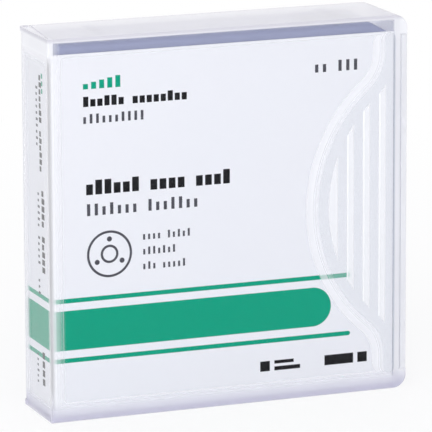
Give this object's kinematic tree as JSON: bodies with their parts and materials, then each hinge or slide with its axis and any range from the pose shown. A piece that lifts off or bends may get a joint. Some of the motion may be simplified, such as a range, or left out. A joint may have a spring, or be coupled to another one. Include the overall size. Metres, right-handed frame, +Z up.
{
  "type": "data tape cartridge in its hinged case",
  "caption": "Half-inch data tape cartridge with reel, brake, door and leader pin, held in a clear hinged case with a folded printed insert card.",
  "frame": {"origin": "middle of the case's foot, on the surface it stands on", "axes": "+Z up, +Y from the lid to the back, +X from the spine to the opening edge"},
  "size_m": [0.109, 0.0254, 0.11],
  "materials": {
    "case_clear": "gloss",
    "card": "satin",
    "shell": "matte",
    "reel_plastic": "satin",
    "tape": "gloss",
    "steel": "satin",
    "switch_plastic": "matte",
    "chip": "satin"
  },
  "bodies": {
    "base": {"case_base": "case_clear", "upper_shell": "shell", "lower_shell": "shell", "shell_screw_1": "steel", "shell_screw_2": "steel", "shell_screw_3": "steel", "shell_screw_4": "steel", "leader_pin": "steel", "leader_pin_clip": "reel_plastic", "leader_tape": "tape", "memory_chip": "chip", "brake_spring": "steel", "door_spring": "steel"},
    "lid": {"case_lid": "case_clear", "insert_card": "card"},
    "reel": {"reel_hub": "reel_plastic", "reel_upper_flange": "reel_plastic", "tape_pack": "tape", "clutch_plate": "steel"},
    "brake": {"brake_button": "reel_plastic"},
    "release": {"brake_release_plate": "reel_plastic"},
    "door": {"sliding_door": "shell"},
    "switch": {"write_protect_switch": "switch_plastic"}
  },
  "joints": [
    {"name": "lid_hinge", "type": "hinge", "parent": "base", "child": "lid", "pos_m": [-0.053, 0.01125, 0.055], "axis": [0, 0, -1], "range_deg": [0, 180]},
    {"name": "door_slide", "type": "slide", "parent": "base", "child": "door", "axis": [-1, 0, 0], "range_m": [0, 0.017], "stiffness_N_per_m": 12, "springref_m": -0.006, "deforming": ["door_spring"]},
    {"name": "write_protect_slide", "type": "slide", "parent": "base", "child": "switch", "axis": [0, 0, 1], "range_m": [0, 0.0055]},
    {"name": "reel_spin", "type": "hinge", "parent": "base", "child": "reel", "pos_m": [-0.0009, 0, 0.055], "axis": [0, 1, 0], "continuous": true},
    {"name": "brake_lift", "type": "slide", "parent": "base", "child": "brake", "axis": [0, -1, 0], "range_m": [0, 0.0016], "stiffness_N_per_m": 300, "springref_m": -0.003, "deforming": ["brake_spring"]},
    {"name": "plate_lift", "type": "slide", "parent": "reel", "child": "release", "axis": [0, -1, 0], "range_m": [0, 0.0016]}
  ],
  "couplings": [
    {"joint": "plate_lift", "follows": "brake_lift", "ratio": 1}
  ]
}
